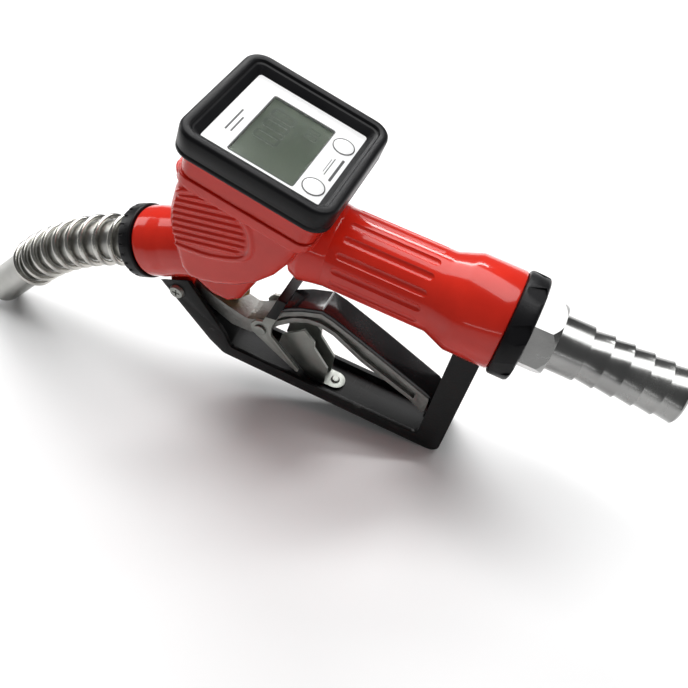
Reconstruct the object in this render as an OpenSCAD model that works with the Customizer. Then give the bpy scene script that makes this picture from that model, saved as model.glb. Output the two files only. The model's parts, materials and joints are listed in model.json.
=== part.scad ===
// Hand-held fuel dispensing nozzle with an in-line digital flow meter.
// Every part is drawn in the nozzle's own frame: X runs along the grip towards the hose,
// Y is across it and Z is up. The pose module then tilts the whole nozzle, so that it
// stands on the guard's rear corner and the spout's tip, as it lies on a bench.

/* [Pose] */
// Slope of the grip when the nozzle rests on a bench, degrees
rest_pitch = 12; // [11:0.5:13]

/* [Grip and inlet] */
// Outer radius of the grip
grip_r = 21.1; // [20.5:0.1:21.5]
// Outer radius of the inlet housing
inlet_r = 25.6; // [25:0.1:26]
// Radius of the fuel passage inside the grip
passage_r = 15.5; // [15.5:0.1:15.6]

/* [Hose tail] */
// Radius of the plain land and of the barbs
barb_r = 14; // [13.7:0.1:14.2]
// Distance between two barbs
barb_pitch = 9.7; // [9.4:0.1:9.8]
// Number of barbs
barb_count = 5; // [3:1:5]
// Distance across the flats of the hexagon
hex_flats = 34; // [32:0.5:36]

/* [Outlet and spout] */
// Slope of the outlet below the grip's axis, degrees
outlet_angle = 27; // [26:0.5:28]
// Outer radius of the spout tube
spout_r = 11.7; // [11.5:0.1:11.8]
// Radius of the spout's bend at its centre line
bend_radius = 205; // [190:5:220]
// Angle of the spout's bend, degrees
bend_angle = 25; // [22:1:27]
// Number of turns of the spout's spring
spring_turns = 9; // [7:1:10]

/* [Meter] */
// Tilt of the display towards the user, degrees
face_tilt = 10; // [9:0.5:11]
// Length of the meter's frame along the grip
bezel_length = 78; // [77:0.5:79]
// Width of the meter's frame across the grip
bezel_width = 76; // [75:0.5:77]
// Radius of the frame's corners
bezel_corner = 10; // [8:0.5:11]

/* [Guard and lever] */
// Width of the guard across the nozzle
guard_width = 28; // [27:0.5:29]
// Thickness of the guard's sheet
guard_sheet = 2.5; // [2:0.1:2.6]
// Width of the lever
lever_width = 16; // [15:0.5:16.5]

/* [Hidden] */
$fn = 48;
fit = 0.05;                     // radial clearance of running fits and static threads
gap = 0.3;                      // clearance between parts that only lie beside each other

// Named points of the nozzle, [x, z] in its own frame
collar = [-203.3, -57.5];       // centre of the outlet nut's front face
pivot = [-172.5, -69];          // the lever's pivot
clip_at = [-120.7, -72.3];      // the hold-open clip's pin
stem_x = -143;                  // axis of the main valve
face_at = [-125.2, 51];         // centre of the display's face
guard_corner = [-9.4, -99.6];   // centre of the guard's rear corner
corner_r = 6.5;
spout_straight = 12;            // straight stretch before the spout's bend
spout_bore_r = 10;
spout_plain = 44;               // plain end of the spout, past its spring

// Where a point of the nozzle's frame ends up once it is tilted
function tilt_x(p) = p[0] * cos(rest_pitch) + p[1] * sin(rest_pitch);
function tilt_z(p) = -p[0] * sin(rest_pitch) + p[1] * cos(rest_pitch);
floor_z = tilt_z(guard_corner) - corner_r;

// The spout's end: it runs on from the bend until its lower edge meets the floor
end_angle = outlet_angle + bend_angle;
function outlet_point(across, along) =
    [collar[0] + across * sin(outlet_angle) + along * cos(outlet_angle),
     collar[1] - across * cos(outlet_angle) + along * sin(outlet_angle)];
bend_end = outlet_point(bend_radius * (1 - cos(bend_angle)),
                        -spout_straight - bend_radius * sin(bend_angle));
edge_start = [bend_end[0] + spout_r * sin(end_angle), bend_end[1] - spout_r * cos(end_angle)];
end_length = (tilt_z(edge_start) - floor_z) / sin(end_angle - rest_pitch);
tip = [bend_end[0] - end_length * cos(end_angle), bend_end[1] - end_length * sin(end_angle)];
barb_start = 38.7;
tail_end = barb_start + barb_count * barb_pitch + 1;
left_x = tilt_x([tip[0] - spout_r * sin(end_angle), tip[1] + spout_r * cos(end_angle)]);
right_x = tilt_x([tail_end, barb_r - 1]);

module pose()
    translate([-(left_x + right_x) / 2, 0, -floor_z])
        rotate([0, rest_pitch, 0])
            children();

// A child's Z axis is laid along the grip, starting at x
module along_grip(x)
    translate([x, 0, 0])
        rotate([0, 90, 0])
            children();

// A child's Z axis is laid along the outlet, from the nut's front face into the body
module outlet_frame()
    translate([collar[0], 0, collar[1]])
        rotate([0, 90 - outlet_angle, 0])
            children();

// A child's origin is the middle of the display's face, with Z out of the face
module face_frame()
    translate([face_at[0], 0, face_at[1]])
        rotate([0, face_tilt, 0])
            children();

module ring(z0, z1, outer, inner)
    translate([0, 0, z0])
        difference() {
            cylinder(h = z1 - z0, r = outer);
            translate([0, 0, -1])
                cylinder(h = z1 - z0 + 2, r = inner);
        }

module rod(z0, z1, r)
    translate([0, 0, z0])
        cylinder(h = z1 - z0, r = r);

// A cylinder across the nozzle at a point [x, z], of half-width half
module across(p, r, half)
    translate([p[0], half, p[1]])
        rotate([90, 0, 0])
            cylinder(h = 2 * half, r = r);

// A plate across the nozzle whose outline is drawn in x and z
module across_plate(half)
    translate([0, half, 0])
        rotate([90, 0, 0])
            linear_extrude(2 * half)
                children();

// A plate of the face frame with straight edges and round corners
module face_slab(length, width, corner, z0, z1)
    for (part = [[length, width - 2 * corner], [length - 2 * corner, width]])
        translate([-part[0] / 2, -part[1] / 2, z0])
            cube([part[0], part[1], z1 - z0]);

module face_plate_shape(length, width, corner, z0, z1) {
    face_slab(length, width, corner, z0, z1);
    for (sx = [-1, 1])
        for (sy = [-1, 1])
            translate([sx * (length / 2 - corner), sy * (width / 2 - corner), z0])
                cylinder(h = z1 - z0, r = corner);
}

// A round wire swept along a list of [position, radial, along] frames
function wire_ring(frame, r, sides) =
    [for (i = [0 : sides - 1])
        frame[0] + r * cos(360 * i / sides) * frame[1] + r * sin(360 * i / sides) * frame[2]];
module sweep(frames, r, sides) {
    last = len(frames) - 1;
    points = [for (f = frames) each wire_ring(f, r, sides)];
    walls = [for (k = [0 : last - 1])
                for (i = [0 : sides - 1])
                    [k * sides + i, k * sides + (i + 1) % sides,
                     (k + 1) * sides + (i + 1) % sides, (k + 1) * sides + i]];
    start_cap = [[for (i = [sides - 1 : -1 : 0]) i]];
    end_cap = [[for (i = [0 : sides - 1]) last * sides + i]];
    polyhedron(points = points, faces = concat(walls, start_cap, end_cap), convexity = 8);
}

// Frames of a straight coil about Z
function coil_frames(r, z0, z1, turns, steps) =
    [for (k = [0 : turns * steps])
        let (a = 360 * k / steps, z = z0 + (z1 - z0) * k / (turns * steps))
            [[r * cos(a), r * sin(a), z], [cos(a), sin(a), 0], [0, 0, 1]]];

// ---------------------------------------------------------------- body
module passage_bores() {
    along_grip(0) {
        rod(-143, 1, passage_r);
        rod(-14, 1, 21);
    }
    translate([stem_x, 0, 0]) {
        rod(-34, 45, 16);
        rod(-60, -33, 3.4);
        rod(-48, -42, 5.6);
        rod(-60, -48, 7);
    }
    outlet_frame() {
        rod(30, 62, 12);
        rod(20, 34, 9.5);
        rod(5, 30, 13);
        rod(3, 10.5, 16.3);
    }
}

module grip_shape()
    rotate([0, 90, 0])
        rotate_extrude()
            polygon([[0, -128], [24, -128], [24, -112], [grip_r, -95], [grip_r, -34],
                     [inlet_r - 0.6, -25], [inlet_r, -23.5], [inlet_r, 0], [0, 0]]);

module valve_body()
    hull()
        for (p = [[-156, 12, 14], [-116, 10, 13], [-149, -20, 10], [-122, -14, 10]])
            for (side = [-1, 1])
                translate([p[0], side * p[2], p[1]])
                    sphere(r = 16, $fn = 24);

module meter_pad()
    hull() {
        face_frame() {
            face_slab(71, 69, 8, -26, -23);
            face_slab(66, 62, 8, -31, -26);
        }
        for (x = [-148, -112])
            for (side = [-1, 1])
                translate([x, side * 15, 9])
                    sphere(r = 14, $fn = 24);
    }

module body_casting()
    color("#d8402f")
        pose()
            difference() {
                union() {
                    grip_shape();
                    valve_body();
                    meter_pad();
                    outlet_frame() {
                        rod(14, 58, 19.4);
                        rod(4, 16, 17.9);
                    }
                    translate([stem_x, 0, -58])
                        cylinder(h = 36, r1 = 11.5, r2 = 20);
                    // lug that holds the lever's pivot and the guard's front arm
                    for (side = [-1, 1])
                        translate([0, side * 9, 0]) {
                            across(pivot, 6.5, 2);
                            across_plate(2)
                                polygon([[-179, -69], [-176, -48], [-160, -44], [-166, -69]]);
                        }
                    // lug under the inlet housing that takes the guard's rear screw
                    translate([-17, -8, -36])
                        cube([11.5, 16, 16]);
                }
                passage_bores();
                across(pivot, 3.05, 14);
                // relief in the neck for the lever's turning end
                across(pivot, 8.6, 7);
                along_grip(-18)
                    translate([30.5, 0, 0])
                        rod(0, 20, 2.05);
                face_frame() {
                    for (sx = [-1, 1])
                        for (sy = [-1, 1])
                            translate([sx * 29, sy * 28, 0])
                                rod(-32, -22, 1.55);
                }
            }

// ---------------------------------------------------------------- outlet
module outlet_nut()
    color("#1d1e20")
        pose()
            outlet_frame()
                difference() {
                    union() {
                        ring(4, 13.4, 21, 17.95);
                        ring(0, 4, 21, spout_r + gap);
                    }
                    for (k = [0 : 23])
                        rotate(k * 15)
                            translate([21, 0, -1])
                                cube([1.6, 2.4, 11], center = true);
                }

// The spout's centre line in the outlet's frame, at a distance from the nut's front face
function spout_turn(along) =
    min(bend_angle, max(0, along - spout_straight) / bend_radius * 180 / PI);
function spout_centre(along) =
    let (turn = spout_turn(along),
         past = max(0, along - spout_straight - bend_radius * bend_angle * PI / 180))
    [bend_radius * (1 - cos(turn)) + past * sin(turn), 0,
     -min(along, spout_straight) - bend_radius * sin(turn) - past * cos(turn)];
function spout_radial(along, around) =
    [cos(spout_turn(along)) * cos(around), sin(around), sin(spout_turn(along)) * cos(around)];

// The bent stretch of the tube, hollow, a little thinner than the straight ends it joins
module spout_bend(sides = 32, rings = 12) {
    start = spout_straight - 0.6;
    length = bend_radius * bend_angle * PI / 180 + 1.2;
    outer = [for (k = [0 : rings]) for (i = [0 : sides - 1])
                let (along = start + length * k / rings)
                    spout_centre(along) + (spout_r - 0.03) * spout_radial(along, 360 * i / sides)];
    inner = [for (k = [0 : rings]) for (i = [0 : sides - 1])
                let (along = start + length * k / rings)
                    spout_centre(along)
                        + (spout_bore_r + 0.12) * spout_radial(along, 360 * i / sides)];
    shift = len(outer);
    walls = [for (k = [0 : rings - 1]) for (i = [0 : sides - 1])
                let (a = k * sides + i, b = k * sides + (i + 1) % sides)
                    each [[a, b, b + sides, a + sides],
                          [shift + b, shift + a, shift + a + sides, shift + b + sides]]];
    ends = [for (i = [0 : sides - 1])
                let (b = (i + 1) % sides, last = rings * sides)
                    each [[i, shift + i, shift + b, b],
                          [last + b, shift + last + b, shift + last + i, last + i]]];
    polyhedron(points = concat(outer, inner), faces = concat(walls, ends), convexity = 8);
}

module spout_tube()
    color("#b9b9b4")
        pose()
            outlet_frame() {
                ring(-spout_straight, 8, spout_r, spout_bore_r);
                ring(4.1, 8, 16, spout_r - 0.5);
                spout_bend();
                translate([bend_radius, 0, -spout_straight])
                    rotate([0, -bend_angle, 0])
                        translate([-bend_radius, 0, -end_length]) {
                            ring(0, spout_plain, spout_r, spout_bore_r);
                            ring(spout_plain - 0.5, end_length, spout_r - 0.3, spout_bore_r);
                        }
            }

function spring_frame(along, around) =
    let (radial = spout_radial(along, around), turn = spout_turn(along))
    [spout_centre(along) + 13.7 * radial, radial, [sin(turn), 0, -cos(turn)]];

module spout_spring()
    color("#c9c8c0")
        pose()
            outlet_frame()
                sweep([for (k = [0 : spring_turns * 20])
                          spring_frame(5 + 103 * k / (spring_turns * 20), k * 18)], 1.6, 8);

module spring_end_ring()
    color("#d2d2cc")
        pose()
            outlet_frame()
                ring(-3.2, -0.2, 16.2, spout_r + 0.1);

module spout_seal()
    color("#202020")
        pose()
            outlet_frame()
                translate([0, 0, 9.3])
                    rotate_extrude()
                        translate([14.4, 0])
                            circle(r = 1.1);

module check_guide()
    color("#c9a24a")
        pose()
            outlet_frame() {
                ring(12, 15, 12.95, 10.5);
                ring(12, 18, 4, 2.05);
                for (k = [0 : 2])
                    rotate(k * 120)
                        translate([3.6, -1, 12])
                            cube([7.4, 2, 3]);
            }

module check_poppet()
    color("#b8b8b8")
        pose()
            outlet_frame() {
                rod(26.6, 29.8, 11.2);
                rod(11, 27, 2);
            }

module check_spring()
    color("#a0a0a0")
        pose()
            outlet_frame()
                sweep(coil_frames(6.5, 16, 25.6, 4, 16), 0.6, 6);

// ---------------------------------------------------------------- main valve
module valve_axis()
    translate([stem_x, 0, 0])
        children();

module valve_seat()
    color("#c9a24a")
        pose()
            valve_axis()
                ring(-22, -17, 15.95, 10.5);

module valve_poppet()
    color("#c9a24a")
        pose()
            valve_axis()
                union() {
                    rod(-68.7, 8, 3);
                    rod(-15, -11, 13);
                }

module poppet_seal()
    color("#262626")
        pose()
            valve_axis()
                ring(-17, -15, 12.5, 3);

module valve_spring()
    color("#a8a8a4")
        pose()
            valve_axis()
                sweep(coil_frames(9.5, -10, 12.9, 5, 18), 1, 6);

module valve_bonnet()
    color("#b3b3ae")
        pose()
            valve_axis()
                difference() {
                    union() {
                        rod(14, 21, 15.95);
                        rod(1, 14, 6);
                    }
                    rod(0, 18, 3.05);
                    ring(16.4, 18.8, 17, 14.1);
                }

module bonnet_seal()
    color("#202020")
        pose()
            valve_axis()
                translate([0, 0, 17.6])
                    rotate_extrude()
                        translate([15.05, 0])
                            circle(r = 0.85);

module packing_nut()
    color("#c9a24a")
        pose()
            valve_axis()
                difference() {
                    union() {
                        rod(-58.2, -49, 6.95);
                        translate([0, 0, -62.2])
                            cylinder(h = 4.15, r = 8.5, $fn = 6);
                    }
                    rod(-63, -48, 3.05);
                }

module stem_seals()
    color("#202020")
        pose()
            valve_axis()
                for (z = [-46.6, -43.5])
                    translate([0, 0, z])
                        rotate_extrude()
                            translate([4.3, 0])
                                circle(r = 1.2);

// ---------------------------------------------------------------- flow meter in the passage
module straightener(x0, x1)
    along_grip(0)
        difference() {
            union() {
                ring(x0, x1, 15.4, 14.2);
                rod(x0, x1, 4);
                for (k = [0 : 3])
                    rotate(45 + k * 90)
                        translate([3.5, -0.6, x0])
                            cube([11, 1.2, x1 - x0]);
            }
            rod(x0 - 1, x1 + 1, 1.55);
        }

module inlet_straightener()
    color("#d9d4c4")
        pose()
            straightener(-74, -68);

module outlet_straightener()
    color("#d9d4c4")
        pose()
            straightener(-98, -92);

module turbine_shaft()
    color("#a5a5a5")
        pose()
            along_grip(0)
                rod(-97, -69, 1.5);

module turbine_rotor()
    color("#e6e2d6")
        pose()
            along_grip(0)
                difference() {
                    union() {
                        rod(-89, -77, 4.5);
                        for (k = [0 : 7])
                            rotate(k * 45)
                                translate([0, 0, -83])
                                    rotate([35, 0, 0])
                                        translate([4, -0.6, -4])
                                            cube([10, 1.2, 8]);
                    }
                    rod(-90, -76, 1.55);
                }

// ---------------------------------------------------------------- inlet and hose tail
module inlet_strainer()
    color("#b5b5ae")
        pose()
            along_grip(0)
                difference() {
                    union() {
                        ring(-30, -28, 15.4, 11);
                        ring(-58, -28, 12, 11);
                        rod(-59, -58, 12);
                    }
                    for (row = [0 : 4])
                        for (k = [0 : 7])
                            rotate(k * 45)
                                translate([11.5, 0, -54 + row * 5.2])
                                    cube([4, 4.6, 3.2], center = true);
                }

module inlet_nut()
    color("#1d1e20")
        pose()
            along_grip(0)
                difference() {
                    union() {
                        rod(0.1, 11.2, 26.9);
                        rod(-8.8, 1, 20.95);
                    }
                    rod(-10, 12, 14.3);
                    for (k = [0 : 11])
                        rotate(k * 30)
                            translate([26.9, 0, 6])
                                cube([2.4, 6, 6], center = true);
                }

function barb_outline() =
    concat([[10, -26], [13.5, -26], [13.5, -13.6], [17.5, -13.6], [17.5, -9.1], [14.2, -9.1],
            [14.2, 11.4], [16, 11.4], [16, 24], [barb_r, 24], [barb_r, barb_start]],
           [for (k = [0 : barb_count - 1])
               for (p = [[barb_r - 1.6, 0.02], [barb_r - 0.3, barb_pitch]])
                   [p[0], barb_start + k * barb_pitch + p[1]]],
           [[barb_r - 1.6, tail_end], [10, tail_end]]);

module hose_tail()
    color("#c7c9c8")
        pose()
            along_grip(0) {
                rotate_extrude()
                    polygon(barb_outline());
                difference() {
                    translate([0, 0, 11.4])
                        rotate(30)
                            cylinder(h = 12.6, r = hex_flats / 2 / cos(30), $fn = 6);
                    rod(11, 25, 15);
                }
            }

module swivel_seals()
    color("#202020")
        pose()
            along_grip(0)
                for (x = [-23.5, -18])
                    translate([0, 0, x])
                        rotate_extrude()
                            translate([14.5, 0])
                                circle(r = 0.9);

// ---------------------------------------------------------------- guard
module guard_outline()
    offset(r = corner_r)
        offset(r = -corner_r)
            polygon([[-196, -53], [-150.5, -98.3], [-141, -105], [-92, -105.6],
                     [-2.9, -106.1], [-2.9, 30], [-196, 30]]);

module guard_window()
    offset(r = 4)
        offset(r = -4)
            polygon([[-178, -42.4], [-141.5, -88], [-137, -97.2], [-17.4, -97.8],
                     [-17.4, 40], [-178, 40]]);

module lever_guard()
    color("#202123")
        pose()
            difference() {
                union() {
                    across_plate(guard_width / 2)
                        difference() {
                            guard_outline();
                            offset(delta = -guard_sheet)
                                guard_outline();
                        }
                    for (side = [-1, 1])
                        translate([0, side * (guard_width - guard_sheet) / 2, 0])
                            across_plate(guard_sheet / 2)
                                difference() {
                                    guard_outline();
                                    guard_window();
                                }
                }
                // the top is cut away to follow the outlet nut and the inlet housing
                translate([-110, -20, -22])
                    cube([220, 40, 100]);
                translate([-210, -20, -52])
                    cube([105, 40, 100]);
                // the front is a fork around the casting's lugs
                translate([-210, -11.3, -88])
                    cube([50, 22.6, 100]);
                outlet_frame()
                    rod(-6, 60, 21.4);
                along_grip(-60)
                    rod(0, 70, inlet_r + gap);
                across(pivot, 3.05, 20);
                along_grip(-6)
                    translate([30.5, 0, 0])
                        rod(0, 10, 2.05);
            }

module guard_screw()
    color("#8d8d88")
        pose()
            along_grip(0)
                translate([30.5, 0, 0]) {
                    rod(-14, -2.8, 2);
                    translate([0, 0, -2.8])
                        cylinder(h = 1.8, r1 = 3.8, r2 = 3);
                }

module lever_pivot_screw()
    color("#a3a397")
        pose()
            difference() {
                union() {
                    translate([pivot[0], 15.5, pivot[1]])
                        rotate([90, 0, 0])
                            cylinder(h = 30, r = 3);
                    translate([pivot[0], -14.05, pivot[1]])
                        rotate([90, 0, 0])
                            cylinder(h = 1.9, r1 = 4.6, r2 = 3.8);
                }
                for (turn = [0, 90])
                    translate([pivot[0], -15.6, pivot[1]])
                        rotate([0, turn, 0])
                            cube([4.6, 1.6, 0.9], center = true);
            }

module pivot_screw_nut()
    color("#8d8d88")
        pose()
            translate([pivot[0], 17.3, pivot[1]])
                rotate([90, 0, 0])
                    difference() {
                        cylinder(h = 3.2, r = 4.6, $fn = 6);
                        translate([0, 0, -1])
                            cylinder(h = 5.2, r = 3.05);
                    }

module hold_open_rack()
    color("#7d8078")
        pose() {
            for (side = [-1, 1])
                translate([0, side * 5, 0])
                    across_plate(0.8)
                        polygon([[-109.5, -76], [-97, -64.5], [-90, -71], [-89.4, -75.5],
                                 [-79, -88], [-79, -103.1], [-88, -103.1], [-110.5, -84]]);
            translate([-88, -5.8, -103.1])
                cube([9.2, 11.6, 1.6]);
            difference() {
                union() {
                    translate([-80, -6, -103.1])
                        cube([6, 12, 1.6]);
                    translate([-74, 0, -103.1])
                        rod(0, 1.6, 6);
                }
                translate([-74, 0, -104])
                    rod(0, 4, 1.6);
            }
        }

module rack_rivets()
    color("#8d8d88")
        pose()
            translate([-74, 0, 0]) {
                rod(-103.1, -101.2, 1.55);
                translate([0, 0, -101.4])
                    cylinder(h = 1.1, r1 = 2.8, r2 = 2);
            }

// ---------------------------------------------------------------- lever
module lever_outline()
    offset(r = 2)
        offset(r = -2)
            polygon([[-172, -75.5], [-166, -75.5], [-161.5, -72.5], [-151.4, -78],
                     [-140, -83.5], [-128.3, -83], [-119, -78], [-112, -67.5],
                     [-102.6, -58.3], [-95.3, -54.6], [-88.2, -53.6], [-80, -55.5],
                     [-61.4, -66.1], [-30, -78.5], [-23, -82.5], [-20.2, -88], [-18.8, -88],
                     [-18.8, -71.5], [-55.7, -55.6], [-81.6, -45.2], [-89, -43.2],
                     [-100, -48], [-112, -56], [-118, -64.5], [-127.5, -71.5],
                     [-131, -73], [-143, -70], [-152, -67], [-163, -62.8], [-172, -62.8]]);

module lever()
    color("#9b9b96")
        pose()
            difference() {
                union() {
                    across_plate(lever_width / 2)
                        lever_outline();
                    across(pivot, 6.5, lever_width / 2);
                }
                across(pivot, 3.05, 20);
                // the front end is narrowed to fit between the casting's lugs
                for (side = [-1, 1])
                    translate([-185, side * 11.7 - 5, -90])
                        cube([24, 10, 40]);
                // recessed webs on both sides
                for (side = [-1, 1])
                    translate([0, side * lever_width / 2, 0])
                        across_plate(2.2)
                            offset(delta = -3)
                                intersection() {
                                    lever_outline();
                                    polygon([[-116, -20], [-116, -100], [-24, -100], [-24, -20]]);
                                }
                across(clip_at, 2.55, 20);
            }

module lever_cover()
    color("#19191b")
        pose()
            across_plate(lever_width / 2 + 0.4)
                polygon([[-111.5, -55.2], [-100, -47.6], [-89, -42.8], [-81.6, -44.8],
                         [-55.7, -55.2], [-18.6, -71.2], [-18.6, -88], [-16, -88],
                         [-15.4, -72], [-18.8, -68.2], [-54.7, -52.6], [-81, -42],
                         [-88.9, -40], [-101, -45], [-112.7, -52.6]]);

module clip_pin()
    color("#8d8d88")
        pose() {
            across(clip_at, 2.5, 12.2);
            for (side = [-1, 1])
                translate([0, side * 12.7, 0])
                    across(clip_at, 3.6, 0.6);
        }

module hold_open_clip()
    color("#b2b5ac")
        pose() {
            for (side = [-1, 1])
                translate([0, side * 11.2, 0])
                    difference() {
                        across_plate(0.8)
                            offset(r = 1)
                                offset(r = -1)
                                    polygon([[-127, -71], [-124, -66.5], [-120, -65],
                                             [-116, -52], [-113.5, -42.5], [-108, -42.5],
                                             [-110.5, -52], [-114.4, -67], [-113.9, -73.5],
                                             [-93.6, -93], [-95.5, -94.6], [-120, -79.5],
                                             [-125.5, -76]]);
                        across(clip_at, 2.55, 20);
                    }
            translate([-113.5, -10.5, -44.4])
                cube([5.5, 21, 1.9]);
        }

module clip_spring()
    color("#5a5a58")
        pose()
            translate([clip_at[0], 0, clip_at[1]])
                rotate([90, 0, 0])
                    sweep(coil_frames(4.2, 8.75, 9.55, 1, 20), 0.5, 6);

// ---------------------------------------------------------------- meter
module meter_gasket()
    color("#202020")
        pose()
            face_frame()
                difference() {
                    face_plate_shape(69, 67, 6, -22.95, -22.05);
                    face_plate_shape(50, 49, 3, -24, -21);
                    for (sx = [-1, 1])
                        for (sy = [-1, 1])
                            translate([sx * 29, sy * 28, 0])
                                rod(-24, -21, 1.8);
                }

module meter_housing()
    color("#d8402f")
        pose()
            face_frame()
                difference() {
                    union() {
                        face_plate_shape(71, 69, 7, -22, -1.7);
                        face_plate_shape(75, 73, 8, -22, -18);
                    }
                    difference() {
                        face_plate_shape(66, 64, 4, -23, -3.4);
                        for (sx = [-1, 1])
                            for (sy = [-1, 1])
                                translate([sx * 29, sy * 28, -24])
                                    rod(0, 30, 4.5);
                    }
                    translate([-0.6, -3, 0])
                        face_plate_shape(33, 47, 1, -5, 0);
                    for (y = [13.8, -19.8])
                        translate([23.2, y, 0])
                            rod(-5, 0, 5.8);
                    for (sx = [-1, 1])
                        for (sy = [-1, 1])
                            translate([sx * 29, sy * 28, 0]) {
                                rod(-24, 0, 1.55);
                                rod(-3.6, 0, 2.9);
                            }
                }

module meter_screws()
    color("#8d8d88")
        pose()
            face_frame()
                for (sx = [-1, 1])
                    for (sy = [-1, 1])
                        translate([sx * 29, sy * 28, 0]) {
                            rod(-30, -3.6, 1.5);
                            rod(-3.6, -1.8, 2.8);
                        }

module meter_bezel()
    color("#1d1e20")
        pose()
            face_frame()
                difference() {
                    union() {
                        face_plate_shape(bezel_length, bezel_width, bezel_corner, -10, 3.5);
                        face_plate_shape(bezel_length - 2, bezel_width - 2, bezel_corner - 1,
                                         3.4, 5);
                    }
                    face_plate_shape(71.4, 69.4, 7.2, -11, -1.6);
                    face_plate_shape(60, 58.6, 2.5, -3, 1);
                    face_plate_shape(64, 62, 4, 0.9, 6);
                }

module face_plate()
    color("#f2f2f0")
        pose()
            face_frame()
                difference() {
                    face_plate_shape(59.6, 58.2, 2.3, -1.6, 0);
                    translate([-0.6, -3, 0])
                        face_plate_shape(32.4, 46.4, 1, -3, 1);
                    for (y = [13.8, -19.8])
                        translate([23.2, y, 0])
                            rod(-3, 1, 5.8);
                }

module display_window()
    color("#aebfae")
        pose()
            face_frame()
                translate([-0.6, -3, 0])
                    face_plate_shape(32, 46, 0.9, -3.2, -0.4);

module lcd_module()
    color("#5d665c")
        pose()
            face_frame()
                translate([-0.6, -3, 0])
                    face_plate_shape(36, 50, 1, -7.2, -3.5);

module circuit_board()
    color("#2f6b3f")
        pose()
            face_frame() {
                difference() {
                    face_plate_shape(64, 50, 2, -9.2, -7.6);
                    for (sx = [-1, 1])
                        for (sy = [-1, 1])
                            translate([sx * 29, sy * 28, -10])
                                rod(0, 4, 5);
                }
                for (y = [13.8, -19.8])
                    translate([20.2, y - 3, -7.7])
                        cube([6, 6, 2]);
            }

module batteries()
    color("#3b5f8a")
        pose()
            face_frame()
                for (s = [-7, 5])
                    translate([s, 22.3, -15])
                        rotate([90, 0, 0]) {
                            cylinder(h = 43, r = 5.2);
                            translate([0, 0, 43])
                                cylinder(h = 1.2, r = 1.9);
                        }

module battery_tray()
    color("#3a3a3a")
        pose()
            face_frame()
                translate([-14, -24, -21.6])
                    cube([26, 48, 1.2]);

module push_button(y)
    pose()
        face_frame()
            translate([23.2, y, 0]) {
                rod(-3, 0.3, 5.7);
                rod(-4.4, -3, 2);
            }

module reset_button()
    color("#e8e8e4")
        push_button(-19.8);

module calibrate_button()
    color("#e8e8e4")
        push_button(13.8);

body_casting();
outlet_nut();
spout_tube();
spout_spring();
spring_end_ring();
spout_seal();
check_guide();
check_poppet();
check_spring();
valve_seat();
valve_poppet();
poppet_seal();
valve_spring();
valve_bonnet();
bonnet_seal();
packing_nut();
stem_seals();
inlet_straightener();
outlet_straightener();
turbine_shaft();
turbine_rotor();
inlet_strainer();
inlet_nut();
hose_tail();
swivel_seals();
lever_guard();
guard_screw();
hold_open_rack();
rack_rivets();
lever();
lever_cover();
lever_pivot_screw();
pivot_screw_nut();
clip_pin();
hold_open_clip();
clip_spring();
meter_gasket();
meter_housing();
meter_screws();
meter_bezel();
face_plate();
display_window();
lcd_module();
circuit_board();
batteries();
battery_tray();
reset_button();
calibrate_button();
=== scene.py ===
import json
import math

import bmesh
import bpy
from mathutils import Matrix, Vector


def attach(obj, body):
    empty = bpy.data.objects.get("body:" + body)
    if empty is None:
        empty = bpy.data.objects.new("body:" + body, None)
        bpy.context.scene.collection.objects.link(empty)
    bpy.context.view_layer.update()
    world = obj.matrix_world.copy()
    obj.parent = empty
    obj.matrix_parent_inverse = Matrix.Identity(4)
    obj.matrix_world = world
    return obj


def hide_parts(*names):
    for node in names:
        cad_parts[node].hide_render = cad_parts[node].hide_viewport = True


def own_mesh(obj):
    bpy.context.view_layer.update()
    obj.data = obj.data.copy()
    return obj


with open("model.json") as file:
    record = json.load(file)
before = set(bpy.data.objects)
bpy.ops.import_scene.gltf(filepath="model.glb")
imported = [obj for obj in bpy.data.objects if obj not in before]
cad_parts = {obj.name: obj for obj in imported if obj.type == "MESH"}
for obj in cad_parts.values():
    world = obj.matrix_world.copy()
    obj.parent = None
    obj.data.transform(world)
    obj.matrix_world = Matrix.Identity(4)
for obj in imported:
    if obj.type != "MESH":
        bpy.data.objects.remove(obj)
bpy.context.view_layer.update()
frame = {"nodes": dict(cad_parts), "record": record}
nodes = frame["nodes"]
record = frame["record"]
joints = {joint["name"]: joint for joint in record["behaviour"]["joints"]}
body_of_node = {n: b for b, ns in record["behaviour"]["bodies"].items() for n in ns}
slot_of_node = {part["node"]: part["material_slot"] for part in record["subparts"]}

# ------------------------------------------------------------------ places
# Shapes are drawn in millimetres in the nozzle's own frame, X along the grip towards the
# hose and Z up, and then put in the row frame, where the grip slopes down by 12 degrees.
REST_SLOPE = math.radians(12)
OUTLET_SLOPE = 27
FACE_TILT = 10
LEVER_PIVOT = (-172.5, 0, -69)
BELT_MIDDLE = (-131.2, 0, 31)
BELT_TILT = 5
COLLAR = (-203.3, 0, -57.5)
FACE_MIDDLE = (-125.2, 0, 51)

NOZZLE = (
    Matrix.Translation(joints["hose_swivel"]["pos_m"])
    @ Matrix.Rotation(REST_SLOPE, 4, "Y")
    @ Matrix.Scale(0.001, 4)
)
GRIP = Matrix.Rotation(math.radians(90), 4, "Y")
OUTLET = Matrix.Translation(COLLAR) @ Matrix.Rotation(math.radians(90 - OUTLET_SLOPE), 4, "Y")
FACE = Matrix.Translation(FACE_MIDDLE) @ Matrix.Rotation(math.radians(FACE_TILT), 4, "Y")
BELT = Matrix.Translation(BELT_MIDDLE) @ Matrix.Rotation(math.radians(BELT_TILT), 4, "Y")


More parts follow.
